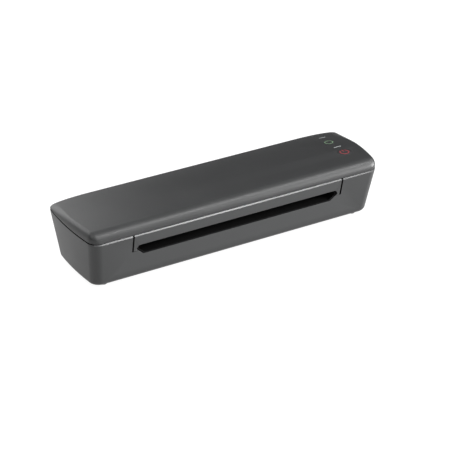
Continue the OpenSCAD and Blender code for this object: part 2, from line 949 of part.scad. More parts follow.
module power_ring_lens() {
    color([0.8, 0.15, 0.15]) intersection() {
        skin_disc(power_place, button_diameter / 2, button_depth);
        tube_z(power_place, crown_z(power_place[1]) - ring_depth, crown_height + 1,
            ring_diameter / 2, ring_diameter / 2 - ring_width);
    }
}

module ready_ring_lens() {
    top = crown_z(ready_place[1]);
    color([0.45, 0.75, 0.4]) {
        skin_disc(ready_place, ring_diameter / 2, ring_depth);
        pin_z(ready_place, ready_lens_low, top - ring_depth + 0.2, ring_diameter / 2 - 2.5);
    }
}

module control_board() {
    color([0.1, 0.35, 0.2]) difference() {
        block([board_corner[0], board_corner[1], board_bottom],
            [board_corner[0] + board_size[0], board_corner[1] + board_size[1],
                board_top]);
        for (p = board_post_places)
            pin_z(p, board_bottom - 1, board_top + 1, board_screw_radius + 0.2);
    }
}

module board_screws() {
    color(steel) for (p = board_post_places)
        screw_up(p, board_bottom, board_screw_length, board_screw_radius);
}

module board_components() {
    color(black) {
        block([144, -14, board_bottom - 11], [155, 4, board_bottom]);
        block([145, 18, board_bottom - 6], [153, 24, board_bottom]);
    }
    color([0.2, 0.3, 0.6]) pin_z([148, 11], board_bottom - 13, board_bottom, 4);
}

module tact_switch() {
    body_top = switch_top - 1.2;
    color(black) {
        block([power_place[0] - 3, power_place[1] - 3, board_top],
            [power_place[0] + 3, power_place[1] + 3, body_top]);
        pin_z(power_place, body_top, switch_top, 1.7);
    }
}

module indicator_leds() {
    color([0.85, 0.9, 0.85]) {
        pin_z(ready_place, board_top, board_top + 5, led_radius);
        pin_z(power_place + [-7, 3], board_top, board_top + 4, led_radius);
    }
}

module cord_gland() {
    for (collar = [[gland_front - gland_inner_collar[0], gland_inner_collar[0], gland_inner_collar[1]],
            [gland_front, gland_back - gland_front, gland_hole_radius],
            [gland_back, gland_outer_collar[0], gland_outer_collar[1]]])
        color(black) along_y(collar[0], collar[1]) difference() {
            disc_at(gland_place, collar[2]);
            disc_at(gland_place, gland_bore_radius);
        }
}

// ---- wiring inside the casing ----

motor_route = [[-150, -18, 33], [-150, -25, 33], [-150, -28, 18], [-146, -18, 9.2],
    [-120, -17.8, 9.2], [0, -17.8, 9.2], [124, -17.8, 9.2], [141.2, -16.5, 12],
    [141.2, -16.5, 30], [141.2, -16.5, board_bottom]];
lower_heater_route = [[80, 0, 14.25], [86, 0, 14.25], [90, -12, 10], [110, -12.8, 10],
    [128, -12.8, 10], [141.2, -12.8, 13], [141.2, -12.8, 30], [141.2, -12.8, board_bottom]];
upper_heater_route = [[80, -4, 63.45], [84, -4, 63.45], [88, -8, 64.5], [100, -20, 65.6],
    [133, -20, 65.6], [137, -14, 62], [141.2, -8, 59], [141.2, -8, board_top]];

module lead(route) {
    tube_along(cut_corners(route, 2), 1.2, 8);
}

module motor_leads() {
    color([0.85, 0.85, 0.85]) lead(motor_route);
}

module heater_leads() {
    color([0.8, 0.2, 0.15]) {
        lead(lower_heater_route);
        lead(upper_heater_route);
    }
}

lower_housing();
top_cover();
front_visor();
exit_mouth();
entry_mouth();
rubber_feet();
case_screws();
left_frame_plate();
right_frame_plate();
frame_screws();
tie_rods();
lower_bushes();
upper_bushes();
spring_holders();
pressure_springs();
roller_sleeve(lower_z);  // lower_roller_sleeve
roller_shaft(lower_z);  // lower_roller_shaft
gear(roller_teeth, [0, lower_z], 0, shaft_radius);  // lower_roller_gear
shaft_clips(lower_z);  // lower_shaft_clips
roller_sleeve(upper_z);  // upper_roller_sleeve
roller_shaft(upper_z);  // upper_roller_shaft
gear(roller_teeth, [0, upper_z], 180 / roller_teeth, shaft_radius);  // upper_roller_gear
shaft_clips(upper_z);  // upper_shaft_clips
upper_heat_shell();
lower_heat_shell();
upper_heater_strip();
lower_heater_strip();
thermostat();
thermal_fuse();
exit_guide_upper();
exit_guide_lower();
entry_guide_upper();
entry_guide_lower();
motor();
motor_posts();
motor_screws();
motor_output_shaft();
motor_gear();
release_cam_shaft();
release_lever();
power_button();
power_ring_lens();
ready_ring_lens();
control_board();
board_components();
board_screws();
tact_switch();
indicator_leds();
cord_gland();
motor_leads();
heater_leads();
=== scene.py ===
import json
import math

import bmesh
import bpy
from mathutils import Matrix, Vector


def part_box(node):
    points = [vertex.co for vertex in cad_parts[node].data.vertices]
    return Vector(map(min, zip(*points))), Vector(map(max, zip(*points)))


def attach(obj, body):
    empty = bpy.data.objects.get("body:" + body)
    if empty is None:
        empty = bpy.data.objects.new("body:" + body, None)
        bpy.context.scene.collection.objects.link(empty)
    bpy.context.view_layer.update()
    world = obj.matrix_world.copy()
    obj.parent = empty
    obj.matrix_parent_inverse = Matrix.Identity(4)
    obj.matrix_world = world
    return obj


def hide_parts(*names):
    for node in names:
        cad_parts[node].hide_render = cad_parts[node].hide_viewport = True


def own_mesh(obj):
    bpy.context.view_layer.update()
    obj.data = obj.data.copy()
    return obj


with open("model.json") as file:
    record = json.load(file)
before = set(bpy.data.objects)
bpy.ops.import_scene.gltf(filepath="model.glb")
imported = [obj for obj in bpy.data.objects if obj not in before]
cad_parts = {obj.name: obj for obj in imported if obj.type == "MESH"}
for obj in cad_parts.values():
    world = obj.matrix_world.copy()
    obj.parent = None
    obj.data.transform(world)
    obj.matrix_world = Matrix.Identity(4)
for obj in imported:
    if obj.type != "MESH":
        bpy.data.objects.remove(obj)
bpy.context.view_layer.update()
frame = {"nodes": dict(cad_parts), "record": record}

MM = 0.001

# ---- sizes of the casing, in metres, from the frame and the design's own rules ----

HOUSING_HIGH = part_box("lower_housing")[1]
VISOR_LOW, VISOR_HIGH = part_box("front_visor")
COVER_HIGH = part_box("top_cover")[1]
POWER_LOW, POWER_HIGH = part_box("power_ring_lens")
READY_LOW, READY_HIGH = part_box("ready_ring_lens")
GLAND_LOW, GLAND_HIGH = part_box("cord_gland")
LEVER_LOW, LEVER_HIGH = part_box("release_lever")
FOOT_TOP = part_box("rubber_feet")[1].z

# Casing: walls that lean in, corners, and the arcs of the ends and the cover
SEAM = VISOR_HIGH.z
FLOOR = FOOT_TOP
HALF_LENGTH = HOUSING_HIGH.x
HALF_DEPTH = 52.5 * MM
CROWN = COVER_HIGH.z
WALL = 2.5 * MM
FRONT_TAPER = 11.5 * MM
BACK_TAPER = 9.4 * MM
END_TAPER = 6.8 * MM
FRONT_CORNER = 10 * MM
BACK_CORNER = 12 * MM
BACK_STRETCH = 4.2
CORNER_SHRINK = 0.7
BOTTOM_EDGE = 5 * MM
BULGE_Y = 16 * MM
BULGE_RADIUS = 315 * MM
CROWN_Y = -38 * MM
CROWN_RADIUS = 413 * MM
BROW_RADIUS = 10.5 * MM
END_ROUND = 5.5 * MM
REAR_ROUND = 12 * MM
BACK_EDGE = 0.5 * MM

# Seam between housing and cover; the bevel's steps are (drop, set-back) as shares of the ledge
FRONT_LEDGE = 1.3 * MM
END_LEDGE = 0.15 * MM
FRONT_GAP = 0.45 * MM
END_GAP = 1.5 * MM
BEVEL_STEPS = ((0.83, 0.0), (0.0, 1.0))
FOOT_BAND = 0.04 * MM
COVER_EDGE = 12 * MM

# Front panel between the two vertical seams
SEAM_SLOT = 1.3 * MM
SEAM_CLEARANCE = 0.3 * MM
VISOR_CHAMFER = 0.35 * MM
PANEL_FRONT = -70 * MM
PANEL_ROOT = -38 * MM
PANEL_TOP = 70 * MM

# Slot mouth; the flare's steps are (depth behind the wall's face, growth) in mm
MOUTH_TOP = 45 * MM
MOUTH_TIP = 40.5 * MM
MOUTH_BOTTOM = 32.5 * MM
MOUTH_TOP_HALF = 119.5 * MM
MOUTH_TIP_HALF = 122.5 * MM
MOUTH_BOTTOM_HALF = 114 * MM
MOUTH_CORNER = 1.2 * MM
MOUTH_SLANT = 0.4
MOUTH_FLARE = ((-4, 4.6), (0, 0.6), (0.2, 0.2), (0.6, 0.0), (12, 0.0))

# Funnel behind the mouth, down to the throat at the height where the rollers meet
FUNNEL_STEPS = (0.0, 0.12, 0.5, 0.8, 1.0)
FUNNEL_INSET = 1.2 * MM
FUNNEL_CLEARANCE = 0.15 * MM
FUNNEL_WALL = 0.8 * MM
FUNNEL_EASE = 0.8
THROAT_HALF = 116 * MM
THROAT = 2.7 * MM
NIP = 38.5 * MM

# Openings of the housing; the lever slot is given as its ranges in Y and in Z
LEVER_SLOT_HALF = 3.1 * MM
LEVER_SLOT = (38 * MM, 60 * MM), (28.5 * MM, 53 * MM)
GLAND_COLLAR = 2 * MM
GLAND_BOSS_LENGTH = 6 * MM
GLAND_BOSS_RADIUS = 8 * MM
GLAND_HOLE_RADIUS = 5 * MM
GLAND_CUT = (36 * MM, 56 * MM)
SCREW_HEAD_RADIUS = 2.8 * MM
SCREW_STEP = 6 * MM
SCREW_WELL_RADIUS = 3.5 * MM
SCREW_WELL_TOP = 12 * MM
VENTS_EACH_SIDE = 7
VENT_PITCH = 12 * MM
VENT_HALF_WIDTH = 1.5 * MM
VENT_SPAN = (-10 * MM, 22 * MM)
VENT_TOP = 10 * MM

# Button, from the stem's foot to the dished top as (radius, lift) in mm
BUTTON_PROFILE = (
    (2, -8), (2.2, -4.5), (7.5, -4.5), (7.5, -3), (7.5, -0.3), (7.42, -0.08), (7.2, 0),
    (5.625, -0.02), (3.75, -0.05), (1.875, -0.06), (0.15, -0.06),
)
BUTTON_HOLE_RADIUS = 7.72 * MM
BUTTON_CUT = (50 * MM, 90 * MM)

# Marks on the cover: the power symbol with its gap in degrees, the ready ring, the printed dashes
SYMBOL_INSET = 0.6 * MM
SYMBOL_WIDTH = 1.1 * MM
SYMBOL_GAP = 32
SYMBOL_BAR = (1.2 * MM, 6 * MM)
READY_RADIUS = 4.5 * MM
READY_WIDTH = 0.75 * MM
LENS_THICKNESS = 0.2 * MM
PRINT_THICKNESS = 0.1 * MM
MARK_LIFT = 0.03 * MM
DASHES = 4
DASH_GAP = 0.5 * MM
DASH_DEPTH = 1.2 * MM

# Pressure springs
SPRING_WIRE = 0.4 * MM
SPRING_RADIUS = 3 * MM
SPRING_TURNS = 2.5

# Fineness of the meshes, and the arc's step in degrees
CORNER_STEPS = 20
SIDE_STEPS = 36
BOTTOM_STEPS = 8
EDGE_STEPS = 24
ROUND_STEPS = 96
BORE_STEPS = 48
ARC_STEP = 6
SPRING_STEPS = 24
WIRE_SIDES = 10

# Least share of a normal along an axis, and greatest distance from a plane, of a face to paint
SQUARE_ON = 0.95
CLOSE = 0.05 * MM

# Rounding of the CAD pieces that show
SOFT_EDGE = 0.4 * MM


def end_x(y):
    return HALF_LENGTH - (y - BULGE_Y) ** 2 / (2 * BULGE_RADIUS)


def corner_cut(distance, radius):
    if distance >= radius:
        return 0.0
    return radius - math.sqrt(max(radius**2 - (radius - distance) ** 2, 0.0))


def taper_share(z):
    return (SEAM - z) / (SEAM - FLOOR)


def front_y(z):
    return -HALF_DEPTH + FRONT_TAPER * taper_share(z)


def back_y(z):
    return HALF_DEPTH - BACK_TAPER * taper_share(z)


def crown_z(y):
    return CROWN - (y - CROWN_Y) ** 2 / (2 * CROWN_RADIUS)


def outline(z, skin):
    """Casing outline at height z, moved in by skin, counterclockwise from the front right corner."""
    front, back = front_y(z) + skin, back_y(z) - skin
    rf, rb = FRONT_CORNER - CORNER_SHRINK * skin, BACK_CORNER - CORNER_SHRINK * skin
    turns = [math.pi / 2 * i / CORNER_STEPS for i in range(CORNER_STEPS + 1)]
    depths = [front + rf * (1 - math.cos(a)) for a in turns]
    depths += [
        front + rf + (back - rb - front - rf) * i / SIDE_STEPS for i in range(1, SIDE_STEPS)
    ]
    depths += [back - rb * (1 - math.cos(a)) for a in reversed(turns)]
    right = []
    for y in depths:
        x = end_x(y) - END_TAPER * taper_share(z) - skin
        x -= corner_cut(y - front, rf) + BACK_STRETCH * corner_cut(back - y, rb)
        right.append((x, y))
    return right + [(-x, y) for x, y in reversed(right)]


def normals(points):
    """Outward normal at each point of a counterclockwise loop."""
    edges = []
    for i, (x, y) in enumerate(points):
        nx, ny = points[(i + 1) % len(points)]
        length = math.hypot(nx - x, ny - y) or 1.0
        edges.append(((ny - y) / length, (x - nx) / length))
    found = []
    for i in range(len(points)):
        x, y = edges[i][0] + edges[i - 1][0], edges[i][1] + edges[i - 1][1]
        length = math.hypot(x, y) or 1.0
        found.append((x / length, y / length))
    return found


def frontness(normal):
    return max(0.0, -normal[1]) ** 2


# ---- mesh helpers ----


def new_object(name, bm, smooth_angle=32):
    bmesh.ops.recalc_face_normals(bm, faces=bm.faces)
    mesh = bpy.data.meshes.new(name)
    bm.to_mesh(mesh)
    bm.free()
    obj = bpy.data.objects.new(name, mesh)
    bpy.context.scene.collection.objects.link(obj)
    shade(obj, smooth_angle)
    return obj


def shade(obj, smooth_angle=32):
    obj.data.shade_smooth()
    obj.data.set_sharp_from_angle(angle=math.radians(smooth_angle))


def even_shading(obj):
    """Lets large faces set the shading along their edges."""
    weighted = obj.modifiers.new("even_shading", "WEIGHTED_NORMAL")
    weighted.keep_sharp = True
    weighted.weight = 100


def loft(rings, close=True):
    """Closed mesh through rings of points with equal counts."""
    bm = bmesh.new()
    loops = [[bm.verts.new(p) for p in ring] for ring in rings]
    count = len(loops[0])
    for low, high in zip(loops, loops[1:]):
        for i in range(count):
            j = (i + 1) % count
            bm.faces.new((low[i], low[j], high[j], high[i]))
    if close:
        bm.faces.new(list(reversed(loops[0])))
        bm.faces.new(loops[-1])
    return bm


def boolean(obj, cutter, operation="DIFFERENCE"):
    """Applies one boolean and removes the cutter."""
    step = obj.modifiers.new("cut", "BOOLEAN")
    step.operation = operation
    step.solver = "EXACT"
    step.object = cutter
    bake_modifiers(obj)
    bpy.data.objects.remove(cutter)


def bake_modifiers(obj):
    graph = bpy.context.evaluated_depsgraph_get()
    mesh = bpy.data.meshes.new_from_object(obj.evaluated_get(graph))
    obj.modifiers.clear()
    old = obj.data
    obj.data = mesh
    bpy.data.meshes.remove(old)


def cylinder_cutter(start, end, radius, steps=BORE_STEPS):
    """Capped cylinder from start to end."""
    axis = (Vector(end) - Vector(start)).normalized()
    side = axis.orthogonal().normalized()
    other = axis.cross(side)
    rings = []
    for centre in (Vector(start), Vector(end)):
        ring = []
        for i in range(steps):
            turn = 2 * math.pi * i / steps
            ring.append(centre + radius * (math.cos(turn) * side + math.sin(turn) * other))
        rings.append(ring)
    return new_object("cutter", loft(rings))


def block_cutter(low, high):
    (x0, y0, z0), (x1, y1, z1) = low, high
    ring = [(x0, y0), (x1, y0), (x1, y1), (x0, y1)]
    return new_object("cutter", loft([[(x, y, z) for x, y in ring] for z in (z0, z1)]))


def soften(obj, width):
    """Rounds the sharp edges of a piece."""
    bevel = obj.modifiers.new("edge_round", "BEVEL")
    bevel.width = width
    bevel.segments = 3
    bevel.limit_method = "ANGLE"
    bevel.angle_limit = math.radians(38)
    bevel.use_clamp_overlap = True
    even_shading(obj)


# ---- materials ----


def material(name, color, roughness, grain=0.0, grain_scale=1200, tone=0.12, wear=0.0, **sockets):
    """Principled material with grain, uneven gloss and tone, and paler worn edges."""
    mat = bpy.data.materials.new(name)
    mat.use_nodes = True
    nodes, links = mat.node_tree.nodes, mat.node_tree.links
    shader = nodes["Principled BSDF"]
    place = nodes.new("ShaderNodeTexCoord")
    blotch = nodes.new("ShaderNodeTexNoise")
    blotch.inputs["Scale"].default_value = 38
    blotch.inputs["Detail"].default_value = 4
    links.new(place.outputs["Object"], blotch.inputs["Vector"])
    shade_ramp = nodes.new("ShaderNodeValToRGB")
    dark = [c * (1 - tone) for c in color]
    light = [min(1.0, c * (1 + tone)) for c in color]
    shade_ramp.color_ramp.elements[0].position = 0.3
    shade_ramp.color_ramp.elements[0].color = (*dark, 1)
    shade_ramp.color_ramp.elements[1].position = 0.7
    shade_ramp.color_ramp.elements[1].color = (*light, 1)
    links.new(blotch.outputs["Fac"], shade_ramp.inputs["Fac"])
    tint = shade_ramp.outputs["Color"]
    if wear:
        geometry = nodes.new("ShaderNodeNewGeometry")
        edge = nodes.new("ShaderNodeValToRGB")
        edge.color_ramp.elements[0].position = 0.53
        edge.color_ramp.elements[0].color = (0, 0, 0, 1)
        edge.color_ramp.elements[1].position = 0.62
        edge.color_ramp.elements[1].color = (wear, wear, wear, 1)
        links.new(geometry.outputs["Pointiness"], edge.inputs["Fac"])
        mix = nodes.new("ShaderNodeMix")
        mix.data_type = "RGBA"
        mix.inputs["B"].default_value = (*[min(1.0, c * 2.2 + 0.01) for c in color], 1)
        links.new(edge.outputs["Color"], mix.inputs["Factor"])
        links.new(tint, mix.inputs["A"])
        tint = mix.outputs["Result"]
    links.new(tint, shader.inputs["Base Color"])
    gloss = nodes.new("ShaderNodeMapRange")
    gloss.inputs["To Min"].default_value = roughness - 0.05
    gloss.inputs["To Max"].default_value = roughness + 0.05
    links.new(blotch.outputs["Fac"], gloss.inputs["Value"])
    links.new(gloss.outputs["Result"], shader.inputs["Roughness"])
    if grain:
        fine = nodes.new("ShaderNodeTexNoise")
        fine.inputs["Scale"].default_value = grain_scale
        fine.inputs["Detail"].default_value = 3
        links.new(place.outputs["Object"], fine.inputs["Vector"])
        bump = nodes.new("ShaderNodeBump")
        bump.inputs["Strength"].default_value = grain
        bump.inputs["Distance"].default_value = 0.05 * MM
        links.new(fine.outputs["Fac"], bump.inputs["Height"])
        links.new(bump.outputs["Normal"], shader.inputs["Normal"])
    for socket, value in sockets.items():
        shader.inputs[socket.replace("_", " ")].default_value = value
    return mat


def metal(name, color, roughness):
    """Metal with fine drawn lines: the noise is stretched along X."""
    mat = material(name, color, roughness, tone=0.06, Metallic=1.0)
    nodes, links = mat.node_tree.nodes, mat.node_tree.links
    place = nodes.new("ShaderNodeTexCoord")
    stretch = nodes.new("ShaderNodeMapping")
    stretch.inputs["Scale"].default_value = (1, 40, 40)
    lines = nodes.new("ShaderNodeTexNoise")
    lines.inputs["Scale"].default_value = 60
    bump = nodes.new("ShaderNodeBump")
    bump.inputs["Strength"].default_value = 0.25
    bump.inputs["Distance"].default_value = 0.02 * MM
    links.new(place.outputs["Object"], stretch.inputs["Vector"])
    links.new(stretch.outputs["Vector"], lines.inputs["Vector"])
    links.new(lines.outputs["Fac"], bump.inputs["Height"])
    links.new(bump.outputs["Normal"], nodes["Principled BSDF"].inputs["Normal"])
    return mat


def glow(name, color, strength):
    """Tinted lens with a faint light of its own."""
    mat = material(name, color, 0.32, grain=0.1, Emission_Strength=strength)
    mat.node_tree.nodes["Principled BSDF"].inputs["Emission Color"].default_value = (*color, 1)
    return mat


CASE = material("case_charcoal", (0.026, 0.0268, 0.0274), 0.42, grain=0.35, tone=0.04, wear=0.3)
# Front ledge bevel: smoother than the case, and paler as a painted highlight line.
BEVEL_HIGHLIGHT = material("case_bevel_painted_highlight", (0.075, 0.076, 0.078), 0.22, grain=0.15, tone=0.05)
# Black plastic of the slot liners, made near-zero dark; also painted on casing faces in the slot, the
# seams and under the cover as painted shade.
BLACK_AND_PAINTED_SHADE = material("mouth_black_and_painted_shade", (0.002, 0.002, 0.002), 0.6, grain=0.3, Specular_IOR_Level=0.1)
RUBBER = material("foot_rubber", (0.012, 0.012, 0.012), 0.8, grain=0.5, wear=0.2)
PRINT = material("print_pale", (0.44, 0.46, 0.46), 0.5, grain=0.2)
SLOT_MATERIALS = {
    "case_plastic": CASE,
    "mouth_plastic": BLACK_AND_PAINTED_SHADE,
    "rubber": RUBBER,
    "zinc_steel": metal("zinc_steel", (0.55, 0.56, 0.58), 0.36),
    "ground_steel": metal("ground_steel", (0.66, 0.66, 0.67), 0.2),
    "heat_aluminium": metal("heat_aluminium", (0.75, 0.75, 0.76), 0.34),
    "silicone": material("silicone_red", (0.36, 0.075, 0.03), 0.55, grain=0.4, grain_scale=700),
    "white_nylon": material("nylon_white", (0.72, 0.7, 0.62), 0.4, grain=0.2, wear=0.2),
    "black_insulation": material("insulation_black", (0.012, 0.011, 0.01), 0.45, grain=0.5),
    "circuit_board": material("board_green", (0.01, 0.09, 0.035), 0.28, grain=0.3, tone=0.3),
    "green_lens": glow("lens_green", (0.2, 0.32, 0.19), 0.1),
    "red_lens": glow("lens_red", (0.26, 0.035, 0.045), 0.07),
    "led_lens": material("led_clear", (0.7, 0.74, 0.7), 0.2, grain=0.1),
    "white_lead": material("lead_white", (0.6, 0.6, 0.58), 0.4, grain=0.3),
    "red_lead": material("lead_red", (0.34, 0.02, 0.012), 0.4, grain=0.3),
}


def paint(piece, paint_material, test):
    """Gives the faces that pass test(centre, normal) another material."""
    piece.data.materials.append(paint_material)
    index = len(piece.data.materials) - 1
    for face in piece.data.polygons:
        if test(face.center, face.normal):
            face.material_index = index


def dress(piece, slot, body, *nodes):
    """Gives a new piece its slot's material, makes it ride on a body, and hides the CAD nodes it stands
    for, if any.
    """
    piece.data.materials.clear()
    piece.data.materials.append(SLOT_MATERIALS[slot])
    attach(piece, body)
    if nodes:
        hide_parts(*nodes)
    return piece


# ---- casing ----


def housing_loop(z, skin, edge=0.0):
    """One level of the housing; edge is extra rounding that is full at the front and less at the ends."""
    points = outline(z, skin)
    loop = []
    for (x, y), (nx, ny) in zip(points, normals(points)):
        share = END_LEDGE / FRONT_LEDGE + (1 - END_LEDGE / FRONT_LEDGE) * frontness((nx, ny))
        loop.append((x - nx * edge * share, y - ny * edge * share, z))
    return loop


def wall_levels():
    """Levels of the outer wall as (height, skin, edge)."""
    levels = []
    for i in range(BOTTOM_STEPS + 1):
        turn = math.pi / 2 * i / BOTTOM_STEPS
        lift = BOTTOM_EDGE * (1 - math.cos(turn))
        skin = BOTTOM_EDGE * (1 - math.sin(turn))
        levels.append((FLOOR + lift, skin, 0.0))
    for drop, edge in BEVEL_STEPS:
        levels.append((SEAM - drop * FRONT_LEDGE, 0.0, edge * FRONT_LEDGE))
    return levels


def mouth_outline(grow):
    """Corners of the slot mouth as (x, z), made larger by grow."""
    right = [
        (MOUTH_BOTTOM_HALF + MOUTH_SLANT * grow, MOUTH_BOTTOM - grow),
        (MOUTH_TIP_HALF + grow, MOUTH_TIP),
        (MOUTH_TOP_HALF + MOUTH_SLANT * grow, MOUTH_TOP + grow),
    ]
    return rounded(right + [(-x, z) for x, z in reversed(right)], MOUTH_CORNER)


def rounded(corners, radius, steps=6):
    """Cuts each corner of a closed outline back by radius and joins the ends with a curve."""
    loop = []
    for i, corner in enumerate(corners):
        here = Vector(corner)
        before = (Vector(corners[i - 1]) - here).normalized() * radius
        after = (Vector(corners[(i + 1) % len(corners)]) - here).normalized() * radius
        for k in range(steps + 1):
            t = k / steps
            loop.append(tuple(here + before * (1 - t) ** 2 + after * t**2))
    return loop


def mouth_cutter(wall_at, outward):
    """Cutter for a slot mouth that flares at the outer face of a sloping wall."""
    rings = []
    for depth, grow in MOUTH_FLARE:
        ring = []
        for x, z in mouth_outline(grow * MM):
            ring.append((x, wall_at(z) - outward * depth * MM, z))
        rings.append(ring)
    return new_object("cutter", loft(rings))


def cut_lever_slot(shell):
    middle = (LEVER_LOW.x + LEVER_HIGH.x) / 2
    (near, far), (low, high) = LEVER_SLOT
    slot = block_cutter(
        (middle - LEVER_SLOT_HALF, near, low), (middle + LEVER_SLOT_HALF, far, high)
    )
    boolean(shell, slot)


def add_gland_boss(shell):
    """Boss on the rear wall around the gland, with the gland's hole."""
    gland = (GLAND_LOW + GLAND_HIGH) / 2
    face = GLAND_HIGH.y - GLAND_COLLAR
    ends = [(gland.x, y, gland.z) for y in (face - GLAND_BOSS_LENGTH, face)]
    boolean(shell, cylinder_cutter(*ends, GLAND_BOSS_RADIUS), "UNION")
    ends = [(gland.x, y, gland.z) for y in GLAND_CUT]
    boolean(shell, cylinder_cutter(*ends, GLAND_HOLE_RADIUS))


def cut_underside(shell):
    """Wells of the case screws and the row of vents."""
    for x, y in screw_places():
        boolean(shell, cylinder_cutter((x, y, 0), (x, y, SCREW_WELL_TOP), SCREW_WELL_RADIUS))
    for i in range(-VENTS_EACH_SIDE, VENTS_EACH_SIDE + 1):
        x = i * VENT_PITCH
        low = (x - VENT_HALF_WIDTH, VENT_SPAN[0], 0)
        high = (x + VENT_HALF_WIDTH, VENT_SPAN[1], VENT_TOP)
        boolean(shell, block_cutter(low, high))


def lower_housing():
    shell = new_object("housing_shell", loft([housing_loop(*level) for level in wall_levels()]))
    low = FLOOR + WALL
    inner = [(low, WALL + MM), (low + 2 * MM, WALL), (SEAM + MM, WALL)]
    boolean(shell, new_object("cutter", loft([housing_loop(z, skin) for z, skin in inner])))
    half = VISOR_HIGH.x + SEAM_SLOT
    panel_low = (-half, PANEL_FRONT, VISOR_LOW.z - SEAM_CLEARANCE)
    boolean(shell, block_cutter(panel_low, (half, PANEL_ROOT, PANEL_TOP)))
    boolean(shell, mouth_cutter(front_y, -1))
    boolean(shell, mouth_cutter(back_y, 1))
    cut_lever_slot(shell)
    add_gland_boss(shell)
    cut_underside(shell)
    shade(shell)
    dress(shell, "case_plastic", "casing", "lower_housing")
    paint_bevel_highlight(shell)
    paint_mouth_shade(shell)
    # Painted shade: the rim's top under the cover and the sides of the panel's seams are painted black.
    paint(shell, BLACK_AND_PAINTED_SHADE, lambda c, n: n.z > SQUARE_ON and c.z > SEAM - CLOSE)
    paint(shell, BLACK_AND_PAINTED_SHADE, lambda c, n: abs(n.x) > SQUARE_ON and abs(abs(c.x) - half) < CLOSE)
    even_shading(shell)


def paint_bevel_highlight(shell):
    """The bevel along the top of the front panels: a smoother finish, and a paler colour as a painted
    highlight.
    """
    low, high = SEAM - FRONT_LEDGE, SEAM
    paint(shell, BEVEL_HIGHLIGHT, lambda c, n: low < c.z < high and n.y < -0.3 and 0.5 < n.z < 0.9)


def paint_mouth_shade(shell):
    """The slot's walls are painted black from just behind its bevelled lip, as painted shade."""
    low, high, half = MOUTH_BOTTOM - MM, MOUTH_TOP + MM, MOUTH_TIP_HALF + MM
    paint(shell, BLACK_AND_PAINTED_SHADE, lambda c, n: abs(n.y) < 0.4 and abs(c.x) < half and low < c.z < high)


def screw_places():
    """Centres of the case screws, from the corners of their group."""
    low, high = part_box("case_screws")
    rear = (high.x - SCREW_HEAD_RADIUS, high.y - SCREW_HEAD_RADIUS)
    fore = (rear[0] - SCREW_STEP, low.y + SCREW_HEAD_RADIUS)
    return [(s * x, y) for s in (-1, 1) for x, y in (fore, rear)]


def front_visor():
    half = VISOR_HIGH.x - (SEAM_SLOT - SEAM_CLEARANCE) / 2
    profile = [(front_y(VISOR_LOW.z), VISOR_LOW.z)]
    for drop, edge in BEVEL_STEPS:
        z = SEAM - drop * FRONT_LEDGE
        profile.append((front_y(z) + edge * FRONT_LEDGE, z))
    profile += [(front_y(SEAM) + WALL, SEAM), (front_y(VISOR_LOW.z) + WALL, VISOR_LOW.z)]
    flat = half - VISOR_CHAMFER
    rings = []
    for inset, x in ((VISOR_CHAMFER, -half), (0, -flat), (0, flat), (VISOR_CHAMFER, half)):
        rings.append([(x, y + inset, z) for y, z in profile])
    visor = new_object("visor_shell", loft(rings))
    boolean(visor, mouth_cutter(front_y, -1))
    shade(visor)
    dress(visor, "case_plastic", "casing", "front_visor")
    paint_bevel_highlight(visor)
    paint_mouth_shade(visor)
    # Painted shade: the panel's ends in the seams and its top under the cover are painted black.
    paint(
        visor,
        BLACK_AND_PAINTED_SHADE,
        lambda c, n: abs(n.x) > SQUARE_ON or (n.z > SQUARE_ON and c.z > SEAM - CLOSE),
    )
    even_shading(visor)


def rise(distance, reach):
    """Height share of a quarter-ellipse edge, from 0 at its foot to 1 at its reach."""
    if distance >= reach:
        return 1.0
    return math.sqrt(max(0.0, 1 - (1 - max(distance, 0.0) / reach) ** 2))


def cover_height(y, offset, foot, normal):
    """Height of the cover's skin at depth y, offset inside the outline with that normal."""
    brow = rise(y + HALF_DEPTH - FRONT_LEDGE, BROW_RADIUS)
    reach = END_ROUND + (REAR_ROUND - END_ROUND) * max(0.0, y / HALF_DEPTH)
    end = 1 - normal[0] ** 2 * (1 - rise(offset, reach))
    back = max(0.0, normal[1]) ** 2 * BACK_EDGE * (1 - rise(offset, BACK_EDGE))
    return foot + max(0.0, (crown_z(y) - foot) * brow * end - back)


def seam_gap(normal):
    """Gap between housing and cover, which widens from the front to the ends."""
    return FRONT_GAP + (END_GAP - FRONT_GAP) * normal[0] ** 2


def cover_solid(name, skin):
    """Cover as a solid whose surfaces lie skin inside the outer ones."""
    base = normals(outline(SEAM, 0))
    rings = [[], []]
    for step in range(EDGE_STEPS + 1):
        offset = COVER_EDGE * (1 - math.cos(math.pi / 2 * step / EDGE_STEPS))
        ring = []
        for (x, y), normal in zip(outline(SEAM, skin + offset), base):
            ledge = END_LEDGE + (FRONT_LEDGE - END_LEDGE) * frontness(normal)
            side = ledge * (1 - offset / COVER_EDGE)
            x, y = x - normal[0] * side, y - normal[1] * side
            foot = SEAM + seam_gap(normal)
            ring.append((x, y, cover_height(y, skin + offset, foot, normal) - skin))
        rings.append(ring)
    for i, (x, y, _) in enumerate(rings[2]):
        foot = SEAM + (seam_gap(base[i]) if skin == 0 else -MM)
        rings[0].append((x, y, foot))
        rings[1].append((x, y, foot + FOOT_BAND))
        for ring in rings[2:]:
            ring[i] = (ring[i][0], ring[i][1], max(ring[i][2], foot + 2 * FOOT_BAND))
    bm = loft(rings, close=False)
    bm.verts.ensure_lookup_table()
    count = len(rings[0])
    bm.faces.new([bm.verts[i] for i in reversed(range(count))])
    top = [bm.verts[len(rings) * count - count + i] for i in range(count)]
    for i in range(count // 2 - 1):
        bm.faces.new((top[i], top[i + 1], top[count - 2 - i], top[count - 1 - i]))
    return new_object(name, bm)


